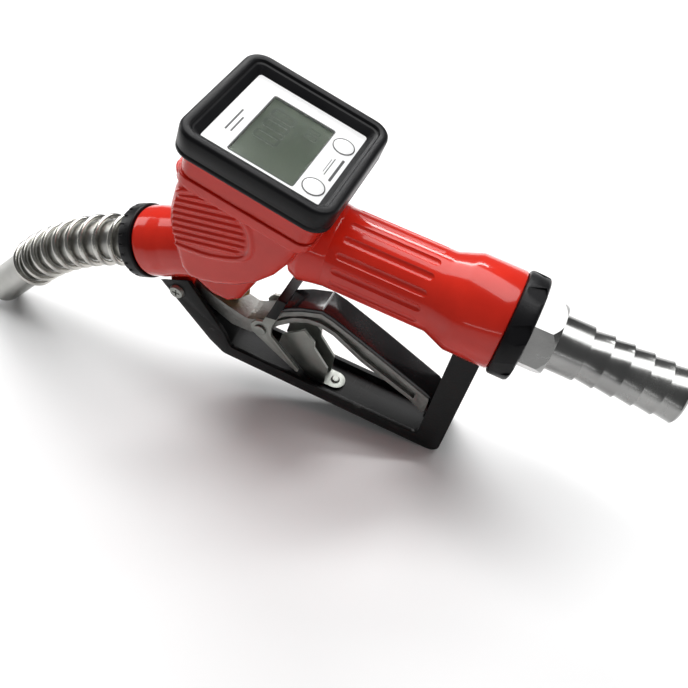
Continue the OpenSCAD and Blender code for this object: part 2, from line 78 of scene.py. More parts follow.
# ------------------------------------------------------------------ shader groups
def new_group(name, inputs, outputs):
    """An empty shader group with float inputs and named outputs."""
    tree = bpy.data.node_groups.new(name, "ShaderNodeTree")
    for label, start in inputs:
        socket = tree.interface.new_socket(label, in_out="INPUT", socket_type="NodeSocketFloat")
        socket.default_value = start
    for label in outputs:
        tree.interface.new_socket(label, in_out="OUTPUT", socket_type="NodeSocketFloat")
    return tree, tree.nodes.new("NodeGroupInput"), tree.nodes.new("NodeGroupOutput")


def ramp_range(tree, value, low, high):
    """A value spread over 0 to 1 between low and high."""
    node = tree.nodes.new("ShaderNodeMapRange")
    node.inputs["From Min"].default_value = low
    node.inputs["From Max"].default_value = high
    tree.links.new(value, node.inputs["Value"])
    return node.outputs["Result"]


def scaled(tree, a, b, operation="MULTIPLY"):
    """One value with another, or with a number."""
    node = tree.nodes.new("ShaderNodeMath")
    node.operation = operation
    for socket, value in zip(node.inputs, (a, b)):
        if isinstance(value, (int, float)):
            socket.default_value = value
        else:
            tree.links.new(value, socket)
    return node.outputs[0]


def noise(tree, place, size, detail, roughness=0.55):
    """Noise of a size that is a number or another node's output."""
    node = tree.nodes.new("ShaderNodeTexNoise")
    node.inputs["Detail"].default_value = detail
    node.inputs["Roughness"].default_value = roughness
    tree.links.new(place, node.inputs["Vector"])
    if isinstance(size, (int, float)):
        node.inputs["Scale"].default_value = size
    else:
        tree.links.new(size, node.inputs["Scale"])
    return node.outputs["Fac"]


def make_blotch_group():
    """Broad uneven patches, and a fine grain over them."""
    tree, given, out = new_group(
        "patches and grain", [("Patch scale", 40.0), ("Grain scale", 900.0)], ["Patch", "Grain"]
    )
    place = tree.nodes.new("ShaderNodeTexCoord").outputs["Object"]
    patch = noise(tree, place, given.outputs["Patch scale"], 4.0)
    grain = noise(tree, place, given.outputs["Grain scale"], 2.0, 0.5)
    tree.links.new(ramp_range(tree, patch, 0.35, 0.65), out.inputs["Patch"])
    tree.links.new(ramp_range(tree, grain, 0.25, 0.75), out.inputs["Grain"])
    return tree


def make_scuff_group():
    """Sparse thin scratches and handling marks."""
    tree, given, out = new_group("scuffs", [("Scale", 60.0), ("Amount", 0.5)], ["Mark"])
    place = tree.nodes.new("ShaderNodeTexCoord").outputs["Object"]
    turn = tree.nodes.new("ShaderNodeMapping")
    turn.inputs["Rotation"].default_value = (0.4, 0.7, 0.3)
    turn.inputs["Scale"].default_value = (1.0, 0.12, 1.0)
    tree.links.new(place, turn.inputs["Vector"])
    lines = noise(tree, turn.outputs[0], given.outputs["Scale"], 6.0, 0.7)
    where = noise(tree, place, 25.0, 2.0)
    both = scaled(tree, ramp_range(tree, lines, 0.62, 0.72), ramp_range(tree, where, 0.5, 0.62))
    tree.links.new(scaled(tree, both, given.outputs["Amount"]), out.inputs["Mark"])
    return tree


def make_turning_group():
    """Fine grooves left by a lathe, square to the nozzle's long axis."""
    tree, given, out = new_group("turning marks", [("Pitch scale", 900.0)], ["Line", "Band"])
    place = tree.nodes.new("ShaderNodeTexCoord").outputs["Object"]
    turn = tree.nodes.new("ShaderNodeMapping")
    turn.inputs["Rotation"].default_value = (0, -REST_SLOPE, 0)
    turn.inputs["Scale"].default_value = (1.0, 0.02, 0.02)
    tree.links.new(place, turn.inputs["Vector"])
    line = noise(tree, turn.outputs[0], given.outputs["Pitch scale"], 2.0)
    band = noise(tree, turn.outputs[0], 120.0, 3.0)
    tree.links.new(ramp_range(tree, line, 0.3, 0.7), out.inputs["Line"])
    tree.links.new(ramp_range(tree, band, 0.35, 0.65), out.inputs["Band"])
    return tree


GROUPS = {
    "patches": make_blotch_group(),
    "scuffs": make_scuff_group(),
    "turning": make_turning_group(),
}


# ------------------------------------------------------------------ finishes
COAT_ROUGHNESS = 0.08


def use_group(tree, name, **values):
    node = tree.nodes.new("ShaderNodeGroup")
    node.node_tree = GROUPS[name]
    for label, value in values.items():
        node.inputs[label.replace("_", " ")].default_value = value
    return node


def colour_between(tree, mask, first, second):
    """The first colour where the mask is 0 and the second where it is 1."""
    node = tree.nodes.new("ShaderNodeMix")
    node.data_type = "RGBA"
    tree.links.new(mask, node.inputs["Factor"])
    for label, colour in (("A", first), ("B", second)):
        if isinstance(colour, tuple):
            node.inputs[label].default_value = (*colour, 1)
        else:
            tree.links.new(colour, node.inputs[label])
    return node.outputs["Result"]


def add_relief(tree, shader, height, strength, distance):
    """Small relief in the shader's normal."""
    relief = tree.nodes.new("ShaderNodeBump")
    relief.inputs["Strength"].default_value = strength
    relief.inputs["Distance"].default_value = distance
    tree.links.new(height, relief.inputs["Height"])
    tree.links.new(relief.outputs["Normal"], shader.inputs["Normal"])


def finish_of(
    name,
    colours,
    roughness,
    metallic=0.0,
    coat=0.0,
    patch_scale=40.0,
    grain_scale=900.0,
    bump=0.05,
    grain_height=0.0001,
    scuff=0.0,
    scuff_colour=None,
    turned=0.0,
    **sockets,
):
    """A finish whose colour, roughness and relief vary over the surface.

    Other keywords set the shader's own sockets, with underscores for spaces.
    """
    material = bpy.data.materials.new(name)
    material.use_nodes = True
    tree = material.node_tree
    shader = tree.nodes["Principled BSDF"]
    shader.inputs["Metallic"].default_value = metallic
    shader.inputs["Coat Weight"].default_value = coat
    shader.inputs["Coat Roughness"].default_value = COAT_ROUGHNESS
    for label, value in sockets.items():
        shader.inputs[label.replace("_", " ")].default_value = value
    surface = use_group(tree, "patches", Patch_scale=patch_scale, Grain_scale=grain_scale)
    patch, grain = surface.outputs["Patch"], surface.outputs["Grain"]
    colour = colour_between(tree, patch, colours[0], colours[1])
    low, spread = roughness[0], roughness[1] - roughness[0]
    rough = scaled(tree, scaled(tree, patch, spread * 0.7), low, "ADD")
    rough = scaled(tree, rough, scaled(tree, grain, spread * 0.3), "ADD")
    height = grain
    if turned:
        marks = use_group(tree, "turning")
        height = scaled(tree, grain, scaled(tree, marks.outputs["Line"], turned), "ADD")
        rough = scaled(tree, rough, scaled(tree, marks.outputs["Band"], 0.06), "ADD")
    if scuff:
        marks = use_group(tree, "scuffs", Amount=scuff)
        colour = colour_between(tree, marks.outputs["Mark"], colour, scuff_colour)
        rough = scaled(tree, rough, scaled(tree, marks.outputs["Mark"], 0.15), "ADD")
    tree.links.new(colour, shader.inputs["Base Color"])
    tree.links.new(rough, shader.inputs["Roughness"])
    add_relief(tree, shader, height, bump, grain_height)
    return material


FINISH = {
    "red_paint": finish_of(
        "red_paint", ((0.71, 0.027, 0.013), (0.62, 0.021, 0.010)), (0.16, 0.24), coat=0.6,
        grain_scale=260.0, bump=0.02, grain_height=0.0002, scuff=0.08,
        scuff_colour=(0.62, 0.12, 0.09), Specular_IOR_Level=0.12,
    ),
    "black_plastic": finish_of(
        "black_plastic", ((0.005, 0.005, 0.006), (0.008, 0.008, 0.009)), (0.30, 0.42),
        grain_scale=1500.0, bump=0.25, grain_height=0.00012, scuff=0.3,
        scuff_colour=(0.09, 0.09, 0.09), Specular_IOR_Level=0.16,
    ),
    "black_gloss": finish_of(
        "black_gloss", ((0.010, 0.010, 0.011), (0.018, 0.018, 0.019)), (0.16, 0.30), coat=0.4,
        grain_scale=500.0, bump=0.08, scuff=0.35, scuff_colour=(0.10, 0.10, 0.10),
    ),
    "black_paint": finish_of(
        "black_paint", ((0.005, 0.005, 0.006), (0.008, 0.008, 0.008)), (0.28, 0.40),
        grain_scale=800.0, bump=0.22, grain_height=0.0002, scuff=0.4,
        scuff_colour=(0.12, 0.12, 0.115), Specular_IOR_Level=0.18,
    ),
    "spout_aluminium": finish_of(
        "spout_aluminium", ((0.36, 0.36, 0.34), (0.46, 0.455, 0.435)), (0.28, 0.42),
        metallic=1.0, grain_scale=700.0, bump=0.2, scuff=0.5, scuff_colour=(0.30, 0.30, 0.29),
    ),
    "tail_aluminium": finish_of(
        "tail_aluminium", ((0.30, 0.30, 0.295), (0.38, 0.38, 0.372)), (0.16, 0.26),
        metallic=1.0, bump=0.06, turned=1.0, scuff=0.2, scuff_colour=(0.33, 0.33, 0.33),
    ),
    "spring_steel": finish_of(
        "spring_steel", ((0.50, 0.49, 0.46), (0.60, 0.59, 0.55)), (0.16, 0.30), metallic=1.0,
        bump=0.1, scuff=0.4, scuff_colour=(0.42, 0.41, 0.38),
    ),
    "plated_steel": finish_of(
        "plated_steel", ((0.27, 0.28, 0.26), (0.35, 0.36, 0.335)), (0.32, 0.48), metallic=0.85,
        patch_scale=90.0, bump=0.2, scuff=0.5, scuff_colour=(0.26, 0.26, 0.25),
    ),
    "cast_alloy": finish_of(
        "cast_alloy", ((0.20, 0.20, 0.19), (0.29, 0.29, 0.275)), (0.36, 0.55), metallic=0.8,
        patch_scale=120.0, grain_scale=600.0, bump=0.5, grain_height=0.00025, scuff=0.6,
        scuff_colour=(0.16, 0.16, 0.155),
    ),
    "brass": finish_of(
        "brass", ((0.62, 0.42, 0.16), (0.72, 0.52, 0.22)), (0.22, 0.36), metallic=1.0,
        scuff=0.4, scuff_colour=(0.35, 0.24, 0.10),
    ),
    "rubber": finish_of(
        "rubber", ((0.012, 0.012, 0.012), (0.02, 0.02, 0.02)), (0.55, 0.75), bump=0.3
    ),
    "white_label": finish_of(
        "white_label", ((0.82, 0.82, 0.82), (0.87, 0.87, 0.865)), (0.22, 0.34), coat=0.3,
        patch_scale=30.0, bump=0.05, scuff=0.1, scuff_colour=(0.62, 0.62, 0.62),
    ),
    "label_ink": finish_of(
        "label_ink", ((0.02, 0.02, 0.022), (0.035, 0.035, 0.036)), (0.35, 0.5), bump=0.05
    ),
    "lcd_glass": finish_of(
        "lcd_glass", ((0.115, 0.135, 0.105), (0.155, 0.175, 0.14)), (0.12, 0.2), coat=0.5,
        patch_scale=22.0, bump=0.02,
    ),
    "lcd_ink": finish_of(
        "lcd_ink", ((0.055, 0.065, 0.052), (0.07, 0.08, 0.066)), (0.2, 0.3), bump=0.02
    ),
    "board_green": finish_of(
        "board_green", ((0.02, 0.16, 0.06), (0.03, 0.2, 0.08)), (0.3, 0.45), coat=0.2
    ),
    "battery_sleeve": finish_of(
        "battery_sleeve", ((0.05, 0.12, 0.3), (0.07, 0.15, 0.36)), (0.25, 0.35), coat=0.3
    ),
    "natural_plastic": finish_of(
        "natural_plastic", ((0.72, 0.68, 0.58), (0.78, 0.74, 0.64)), (0.4, 0.55)
    ),
}


def window_finish():
    """Clear moulded window, faintly uneven so that reflections waver."""
    material = bpy.data.materials.new("window_clear")
    material.use_nodes = True
    tree = material.node_tree
    shader = tree.nodes["Principled BSDF"]
    shader.inputs["Base Color"].default_value = (0.93, 0.96, 0.93, 1)
    shader.inputs["Transmission Weight"].default_value = 1.0
    shader.inputs["IOR"].default_value = 1.3
    surface = use_group(tree, "patches", Patch_scale=60.0, Grain_scale=300.0)
    rough = scaled(tree, scaled(tree, surface.outputs["Patch"], 0.03), 0.02, "ADD")
    tree.links.new(rough, shader.inputs["Roughness"])
    add_relief(tree, shader, surface.outputs["Patch"], 0.02, 0.0001)
    return material


FINISH["window_clear"] = window_finish()


# ------------------------------------------------------------------ making pieces
MILLIMETRE = 0.001
ROUNDED_FROM = math.radians(28)
SAME_POINT = 0.0005


def settle(mesh, name, finish, body, stands_for=(), edge=0.0, steps=2, sharp=38):
    """A mesh already in place becomes a piece of the nozzle."""
    mesh.shade_smooth()
    if not edge:
        mesh.set_sharp_from_angle(angle=math.radians(sharp))
    mesh.materials.clear()
    mesh.materials.append(FINISH[finish])
    piece = bpy.data.objects.new(name, mesh)
    bpy.context.scene.collection.objects.link(piece)
    if edge:
        rounding = piece.modifiers.new("rounded edges", "BEVEL")
        rounding.width = edge * MILLIMETRE
        rounding.segments = steps
        rounding.limit_method = "ANGLE"
        rounding.angle_limit = ROUNDED_FROM
        rounding.harden_normals = True
    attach(piece, body)
    if stands_for:
        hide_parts(*stands_for)
    return piece


def mesh_from(bm, name, place):
    """The drawn shape, put in the row frame, with its faces turned outwards."""
    bmesh.ops.remove_doubles(bm, verts=bm.verts, dist=SAME_POINT)
    bmesh.ops.recalc_face_normals(bm, faces=bm.faces)
    bm.transform(NOZZLE @ place)
    mesh = bpy.data.meshes.new(name)
    bm.to_mesh(mesh)
    bm.free()
    return mesh


def make_piece(bm, name, place, finish, body, **how):
    """A drawn shape becomes a finished piece on a body."""
    return settle(mesh_from(bm, name, place), name, finish, body, **how)


def refine(node, name, edge, steps):
    """A copy of a CAD node with merged faces and softened edges stands for it."""
    bm = bmesh.new()
    bm.from_mesh(nodes[node].data)
    bmesh.ops.remove_doubles(bm, verts=bm.verts, dist=2e-6)
    bmesh.ops.dissolve_limit(
        bm, angle_limit=math.radians(0.8), verts=bm.verts, edges=bm.edges
    )
    mesh = bpy.data.meshes.new(name)
    bm.to_mesh(mesh)
    bm.free()
    return settle(
        mesh, name, slot_of_node[node], body_of_node[node], (node,), edge, steps
    )


def second_finish_above(piece, level, up, finish):
    """The end of a piece above a level gets a second finish."""
    piece.data.materials.append(FINISH[finish])
    bm = bmesh.new()
    bm.from_mesh(piece.data)
    bmesh.ops.bisect_plane(
        bm, geom=bm.verts[:] + bm.edges[:] + bm.faces[:], plane_co=level, plane_no=up
    )
    for face in bm.faces:
        face.material_index = int((face.calc_center_median() - level).dot(Vector(up)) > 0)
    bm.to_mesh(piece.data)
    bm.free()


def outline(bm, points, corner=0.0, steps=4):
    """A flat face in XZ with its corners rounded."""
    face = bm.faces.new([bm.verts.new((x, 0, z)) for x, z in points])
    if corner:
        bmesh.ops.bevel(
            bm, geom=list(face.verts), offset=corner, segments=steps, profile=0.5,
            affect="VERTICES", material=-1, clamp_overlap=True,
        )
    return list(bm.faces)


def plate(points, y0, y1, corner=0.0, steps=4):
    """A plate across the nozzle between two values of Y."""
    bm = bmesh.new()
    faces = outline(bm, points, corner, steps)
    bmesh.ops.translate(bm, verts=bm.verts, vec=(0, y0, 0))
    grown = bmesh.ops.extrude_face_region(bm, geom=faces, use_keep_orig=True)["geom"]
    moved = [v for v in grown if isinstance(v, bmesh.types.BMVert)]
    bmesh.ops.translate(bm, verts=moved, vec=(0, y1 - y0, 0))
    return bm


def slab(length, width, corner, z0, z1, steps=8):
    """A flat block with rounded corners, lying in XY."""
    bm = bmesh.new()
    corners = [(-1, -1), (1, -1), (1, 1), (-1, 1)]
    face = bm.faces.new(
        [bm.verts.new((sx * length / 2, sy * width / 2, z0)) for sx, sy in corners]
    )
    bmesh.ops.bevel(
        bm, geom=list(face.verts), offset=corner, segments=steps, profile=0.5,
        affect="VERTICES", material=-1,
    )
    grown = bmesh.ops.extrude_face_region(bm, geom=list(bm.faces), use_keep_orig=True)["geom"]
    moved = [v for v in grown if isinstance(v, bmesh.types.BMVert)]
    bmesh.ops.translate(bm, verts=moved, vec=(0, 0, z1 - z0))
    return bm


def turned(profile, steps=96):
    """A profile of radius and height, spun about Z."""
    bm = bmesh.new()
    verts = [bm.verts.new((r, 0, z)) for r, z in profile]
    edges = [bm.edges.new(pair) for pair in zip(verts, verts[1:])]
    bmesh.ops.spin(
        bm, geom=verts + edges, cent=(0, 0, 0), axis=(0, 0, 1), angle=2 * math.pi,
        steps=steps, use_merge=True,
    )
    bmesh.ops.remove_doubles(bm, verts=bm.verts, dist=SAME_POINT)
    return bm


def join(into, *others):
    """Other shapes are added to the first one as they are."""
    for other in others:
        loose = bpy.data.meshes.new("loose")
        bmesh.ops.recalc_face_normals(other, faces=other.faces)
        other.to_mesh(loose)
        other.free()
        into.from_mesh(loose)
        bpy.data.meshes.remove(loose)
    return into


def put(bm, place):
    bm.transform(place)
    return bm


def temporary(bm):
    """A short-lived object for one modifier."""
    mesh = bpy.data.meshes.new("work")
    bmesh.ops.recalc_face_normals(bm, faces=bm.faces)
    bm.to_mesh(mesh)
    bm.free()
    thing = bpy.data.objects.new("work", mesh)
    bpy.context.scene.collection.objects.link(thing)
    return thing


def worked(thing):
    """The mesh of a temporary object with its modifiers applied; the object is removed."""
    graph = bpy.context.evaluated_depsgraph_get()
    mesh = bpy.data.meshes.new_from_object(thing.evaluated_get(graph))
    old = thing.data
    bpy.data.objects.remove(thing)
    bpy.data.meshes.remove(old)
    bm = bmesh.new()
    bm.from_mesh(mesh)
    bpy.data.meshes.remove(mesh)
    return bm


def carved(shape, tool, operation="DIFFERENCE"):
    """One shape cut by another, or what the two share."""
    base, cutter = temporary(shape), temporary(tool)
    step = base.modifiers.new("carve", "BOOLEAN")
    step.operation = operation
    step.solver = "EXACT"
    step.use_self = True
    step.object = cutter
    made = worked(base)
    spare = cutter.data
    bpy.data.objects.remove(cutter)
    bpy.data.meshes.remove(spare)
    return made


def moulded(shape, voxel, smoothing):
    """Overlapping shells fused into one skin with soft inner corners."""
    base = temporary(shape)
    fuse = base.modifiers.new("fuse", "REMESH")
    fuse.mode = "VOXEL"
    fuse.voxel_size = voxel
    soften = base.modifiers.new("soften", "SMOOTH")
    soften.factor = 0.5
    soften.iterations = smoothing
    return worked(base)


# ------------------------------------------------------------------ the painted casting
def capsule(r, x0, x1):
    """A round-ended bar along X."""
    arc = [(r * math.sin(a), x1 + r * (math.cos(a) - 1)) for a in
           [math.radians(step) for step in (0.5, 22, 45, 67, 90)]]
    foot = [(r * math.sin(a), x0 + r * (1 - math.cos(a))) for a in
            [math.radians(step) for step in (90, 67, 45, 22, 0.5)]]
    bar = turned([(0, x1), *arc, *foot, (0, x0)], 20)
    return put(bar, GRIP)


FLUTES = 16
RIBS = 8
RIB_PITCH = 4.15
RIB_RISE = math.radians(14)


def casting_grip():
    """The grip with its flutes, the shoulder and the inlet housing."""
    shape = put(
        turned(
            [(0, -99), (19, -99), (20.6, -95), (21.1, -91), (21.1, -35.5), (21.4, -34),
             (24.6, -25.6), (25.1, -24.4), (25.6, -22.5), (25.6, -1.2), (25.2, -0.4),
             (24.6, 0), (0, 0)],
            120,
        ),
        GRIP,
    )
    flutes = bmesh.new()
    for k in range(FLUTES):
        turn = Matrix.Rotation(2 * math.pi * (k + 0.5) / FLUTES, 4, "X")
        groove = capsule(3.0, -87, -38.5)
        join(flutes, put(put(groove, Matrix.Translation((0, 0, 23.1))), turn))
    shape = carved(shape, flutes)
    return make_piece(
        shape, "casting_grip", Matrix(), "red_paint", "nozzle_body",
        stands_for=("body_casting",), edge=0.45, steps=3,
    )


CHAMBER_SIDE = [
    (-163, 33), (-167.5, 20), (-169.8, 8), (-170.2, -3), (-168.2, -14), (-165.4, -23),
    (-163, -31), (-158, -36.6), (-150, -35.8), (-141, -33), (-130, -27.5), (-120, -19.4),
    (-112, -10), (-105.4, 1.8), (-101.2, 13), (-99.6, 22), (-99.6, 27),
]
PANEL = [
    (-174, 16), (-164.8, 19.6), (-152.9, 24.1), (-139.9, 25), (-131.8, 20), (-127, 14.4),
    (-124.9, 6), (-125.7, -0.2), (-129.8, -5.2), (-137.9, -9), (-147.4, -12.2),
    (-158.7, -13.6), (-174, -14),
]
PANEL_BEAD = [
    (-164.6, 21.6), (-153.3, 26), (-139.2, 27), (-130.2, 21.4), (-125.2, 15), (-123, 6),
    (-123.9, -1.2), (-128.8, -6.9), (-137.4, -10.8), (-147, -14), (-158.6, -15.5),
    (-165, -15.8), (-167.4, -8), (-168, 8), (-166.2, 18),
]
PANEL_FIELD = [
    (-165, 17.4), (-153, 22), (-140.6, 22.8), (-133.4, 18.6), (-129.2, 13.2), (-127.3, 6),
    (-128, 1), (-131.2, -3.2), (-138.6, -6.8), (-147.8, -10), (-158.7, -11.4),
    (-165.6, -11.8), (-167.4, -3), (-167, 8),
]
BOSS_SIDE = [
    (-173, -47), (-166, -54), (-152, -61.6), (-142, -62), (-135, -56.5), (-128.5, -42),
    (-124, -30), (-121, -17), (-160, -17),
]


def pillow(points, half, rounding, steps=6):
    """A plate whose rim is rounded over on both sides."""
    bm = plate(points, -half, half)
    rim_edges = [e for e in bm.edges if abs(e.verts[0].co.y - e.verts[1].co.y) < 0.01]
    bmesh.ops.bevel(
        bm, geom=rim_edges, offset=rounding, segments=steps, profile=0.5,
        affect="EDGES", material=-1, clamp_overlap=True,
    )
    return bm


def side_ribs():
    """Eight rounded ribs in each side panel, rising a little towards the hose."""
    bars = bmesh.new()
    lean = Matrix.Rotation(math.radians(90) - RIB_RISE, 4, "Y")
    for side in (-1, 1):
        for k in range(RIBS):
            bar = turned([(0, -40), (1.5, -40), (1.5, 40), (0, 40)], 16)
            spot = Matrix.Translation((-147, side * 28.7, 22.6 - RIB_PITCH * k))
            join(bars, put(bar, spot @ lean))
    return carved(bars, plate(PANEL_FIELD, -31, 31, 3, 4), "INTERSECT")


def relief_for_lever():
    """The space in which the lever's front end turns."""
    across = Matrix.Rotation(math.radians(90), 4, "X")
    return put(
        turned([(0, -7), (8.6, -7), (8.6, 7), (0, 7)], 48),
        Matrix.Translation(LEVER_PIVOT) @ across,
    )


def casting_head():
    """The valve chamber with its ribbed side panels, the pad, the neck and the boss."""
    shape = pillow(CHAMBER_SIDE, 29.2, 7.2)
    bead = carved(plate(PANEL_BEAD, -30.1, 30.1, 4, 4), plate(PANEL, -33, 33, 3, 4))
    neck = put(
        turned([(0, 4), (17.9, 4), (17.9, 8.7), (18.9, 8.7), (19.7, 9.5), (20, 11), (20, 18),
                (19.4, 26), (19.4, 60), (0, 60)]),
        OUTLET,
    )
    neck = carved(neck, relief_for_lever())
    rest = bmesh.new()
    join(
        rest,
        neck,
        put(slab(68, 65, 7, -30, -22.2), FACE),
        put(slab(71, 67.5, 9, -1.1, 1.1), BELT),
        put(slab(70.5, 64.5, 8, -6, -1), BELT),
        put(turned([(0, -108), (21.6, -108), (23.4, -103), (22, -96), (21.1, -90), (0, -90)]),
            GRIP),
        carved(pillow(BOSS_SIDE, 13, 4.5, 4), relief_for_lever()),
    )
    for y0, y1 in ((7.1, 11), (-11, -7.1)):
        join(
            rest,
            plate([(-179, -69), (-177.5, -73), (-172.5, -75.4), (-167.5, -73), (-166, -69),
                   (-160, -44), (-176, -48)], y0, y1, 1.0, 2),
        )
    join(shape, bead, side_ribs(), rest)
    shape = moulded(shape, 0.6, 3)
    return make_piece(
        shape, "casting_head", Matrix(), "red_paint", "nozzle_body",
        stands_for=("body_casting",), sharp=60,
    )


def casting_lug():
    """Small block cast on the grip, beside the shoulder."""
    shape = plate([(-44, -18.6), (-36.4, -19.2), (-36.4, -22.4), (-44, -22.1)], -8.5, -2, 0.5, 2)
    return make_piece(
        shape, "casting_lug", Matrix(), "red_paint", "nozzle_body",
        stands_for=("body_casting",), edge=0.4,
    )


# ------------------------------------------------------------------ the spout
BEND_RADIUS = 205
BEND_ANGLE = math.radians(25)
STRAIGHT = 12
SPOUT_END = STRAIGHT + BEND_RADIUS * BEND_ANGLE + 54.37


def bent(bm):
    """Shapes drawn along -Z are laid along the spout's centre line."""
    for vert in bm.verts:
        along = -vert.co.z
        turn = min(BEND_ANGLE, max(0.0, along - STRAIGHT) / BEND_RADIUS)
        past = max(0.0, along - STRAIGHT - BEND_RADIUS * BEND_ANGLE)
        middle = Vector((
            BEND_RADIUS * (1 - math.cos(turn)) + past * math.sin(turn),
            0,
            -min(along, STRAIGHT) - BEND_RADIUS * math.sin(turn) - past * math.cos(turn),
        ))
        vert.co = middle + Vector((
            vert.co.x * math.cos(turn), vert.co.y, vert.co.x * math.sin(turn)
        ))
    return bm


def spout_tube():
    """Bent tube with a rolled tip, and the collar that the union ring holds."""
    heights = [8 - (SPOUT_END - 1 + 8) * k / 60 for k in range(61)]
    wall = [(9.9, 8), (11.7, 8)]
    wall += [(11.7, z) for z in heights[1:]]
    wall += [(11.35, -SPOUT_END + 0.25), (11.0, -SPOUT_END), (10.3, -SPOUT_END)]
    wall += [(9.9, z) for z in reversed(heights[1:])]
    shape = turned([*wall, (9.9, 8)], 64)
    collar = turned([(11.3, 4.2), (15.9, 4.2), (15.9, 7.9), (11.3, 7.9), (11.3, 4.2)], 64)
    return make_piece(
        join(bent(shape), collar), "spout_tube_bent", OUTLET, "spout_aluminium",
        "nozzle_body", stands_for=("spout_tube",), sharp=50,
    )


def spout_spring():
    """Close coil over the spout, with its ends ground flat against the tube."""
    turns, pitch, start = 9, 103 / 9, -5
    bm = bmesh.new()
    made = bmesh.ops.create_circle(
        bm, cap_ends=False, radius=1.6, segments=12,
        matrix=Matrix.Translation((13.65, 0, start)) @ Matrix.Rotation(math.radians(90), 4, "X"),
    )["verts"]
    edges = list({e for v in made for e in v.link_edges})
    end = bmesh.ops.spin(
        bm, geom=made + edges, cent=(0, 0, 0), axis=(0, 0, 1), angle=2 * math.pi * turns,
        dvec=(0, 0, -pitch / 40), steps=turns * 40, use_merge=False,
    )["geom_last"]
    for ring in (made, [v for v in end if isinstance(v, bmesh.types.BMVert)]):
        ring_edges = list({e for v in ring for e in v.link_edges if e.is_boundary})
        bmesh.ops.contextual_create(bm, geom=ring_edges)
    return make_piece(
        bent(bm), "spout_spring_coil", OUTLET, "spring_steel", "nozzle_body",
        stands_for=("spout_spring",), sharp=70,
    )


# ------------------------------------------------------------------ the meter
def meter_housing():
    """The painted box under the frame, with a stepped lip round its foot."""
    shape = bmesh.new()
    join(
        shape,
        slab(69.8, 67.4, 7.4, -25.4, -7.4),
        slab(71.6, 69.6, 8, -25.6, -21.2),
        slab(72.6, 70.6, 8.4, -11.2, -8.4),
    )
    return make_piece(
        shape, "meter_box", FACE, "red_paint", "nozzle_body",
        stands_for=("meter_housing",), edge=0.7, steps=3,
    )


def rim(length, width, corner, levels):
    """A frame: each level gives the inset from the outline and the height."""

    def corners_at(inset, z):
        loop = slab(length - 2 * inset, width - 2 * inset, max(corner - inset, 0.6), z, z + 1)
        flat = [v.co.copy() for v in loop.verts if abs(v.co.z - z) < 0.01]
        loop.free()
        return sorted(flat, key=lambda place: math.atan2(place.y, place.x))

    bm = bmesh.new()
    verts = [bm.verts.new(place) for place in corners_at(*levels[0])]
    edges = [bm.edges.new(pair) for pair in zip(verts, verts[1:] + verts[:1])]
    for level in [*levels[1:], levels[0]]:
        grown = bmesh.ops.extrude_edge_only(bm, edges=edges)["geom"]
        edges = [e for e in grown if isinstance(e, bmesh.types.BMEdge)]
        moved = [v for v in grown if isinstance(v, bmesh.types.BMVert)]
        moved.sort(key=lambda v: math.atan2(v.co.y, v.co.x))
        for vert, place in zip(moved, corners_at(*level)):
            vert.co = place
        edges = [e for e in edges if all(v in moved for v in e.verts)]
    return bm


def meter_frame():
    """Black frame with a groove round its foot and a step down to the label."""
    shape = rim(
        78, 76, 10,
        [(0.0, -7.5), (0.7, -8.2), (8.2, -8.2), (9.3, -9), (9.3, -0.6), (9.3, 0.2), (8.9, 0.45),
         (6.5, 3.3), (6.1, 3.5), (5.2, 3.5), (4.9, 3.8), (4.7, 4.7), (4.3, 5), (1.8, 5),
         (0.9, 4.7), (0.25, 4.0), (0.0, 3.0), (0.0, -4.8), (0.35, -5.2), (0.35, -5.6),
         (0.0, -6.0)],
    )
    return make_piece(
        shape, "meter_frame", FACE, "black_plastic", "nozzle_body",
        stands_for=("meter_bezel",), sharp=50,
    )


WINDOW_AT = Matrix.Translation((-0.6, -3, 0))


def label():
    """White label sheet with an opening for the display."""
    sheet = slab(59.4, 58, 2.2, -1.6, 0)
    hole = put(slab(32.4, 46.4, 1, -3, 1), WINDOW_AT)
    shape = carved(sheet, hole)
    return make_piece(
        shape, "label_sheet", FACE, "white_label", "nozzle_body",
        stands_for=("face_plate",), edge=0.12,
    )


def window_line():
    """A thin printed line round the display's opening."""
    shape = carved(slab(33.4, 47.4, 1.4, 0, 0.06), slab(32.4, 46.4, 0.9, -1, 1))
    return make_piece(put(shape, WINDOW_AT), "window_line", FACE, "label_ink", "nozzle_body")


def display():
    """The display's panel, and the clear window over it."""
    make_piece(
        put(slab(32.3, 46.3, 0.9, -2.6, -1.3), WINDOW_AT), "lcd_panel", FACE, "lcd_glass",
        "nozzle_body", stands_for=("lcd_module",), edge=0.1,
    )
    make_piece(
        put(slab(32.2, 46.2, 0.9, -0.9, -0.3), WINDOW_AT), "window_pane", FACE,
        "window_clear", "nozzle_body", stands_for=("display_window",), edge=0.1,
    )


SEGMENTS = {
    "a": (0, 1, True), "b": (1, 0.5, False), "c": (1, -0.5, False), "d": (0, -1, True),
    "e": (-1, -0.5, False), "f": (-1, 0.5, False), "g": (0, 0, True),
}


def digit(segments, height, width, bar, along, up):
    """One seven-segment digit. Its top points to -X and it reads along +Y."""
    bm = bmesh.new()
    for key in segments:
        column, row, level = SEGMENTS[key]
        if level:
            size = (bar, width - bar * 1.3)
        else:
            size = (height / 2 - bar * 0.75, bar)
        piece = slab(size[0], size[1], bar * 0.3, -1.3, -1.24, 2)
        join(bm, put(piece, Matrix.Translation(
            (up - row * (height - bar) / 2, along + column * (width - bar) / 2, 0)
        )))
    return bm


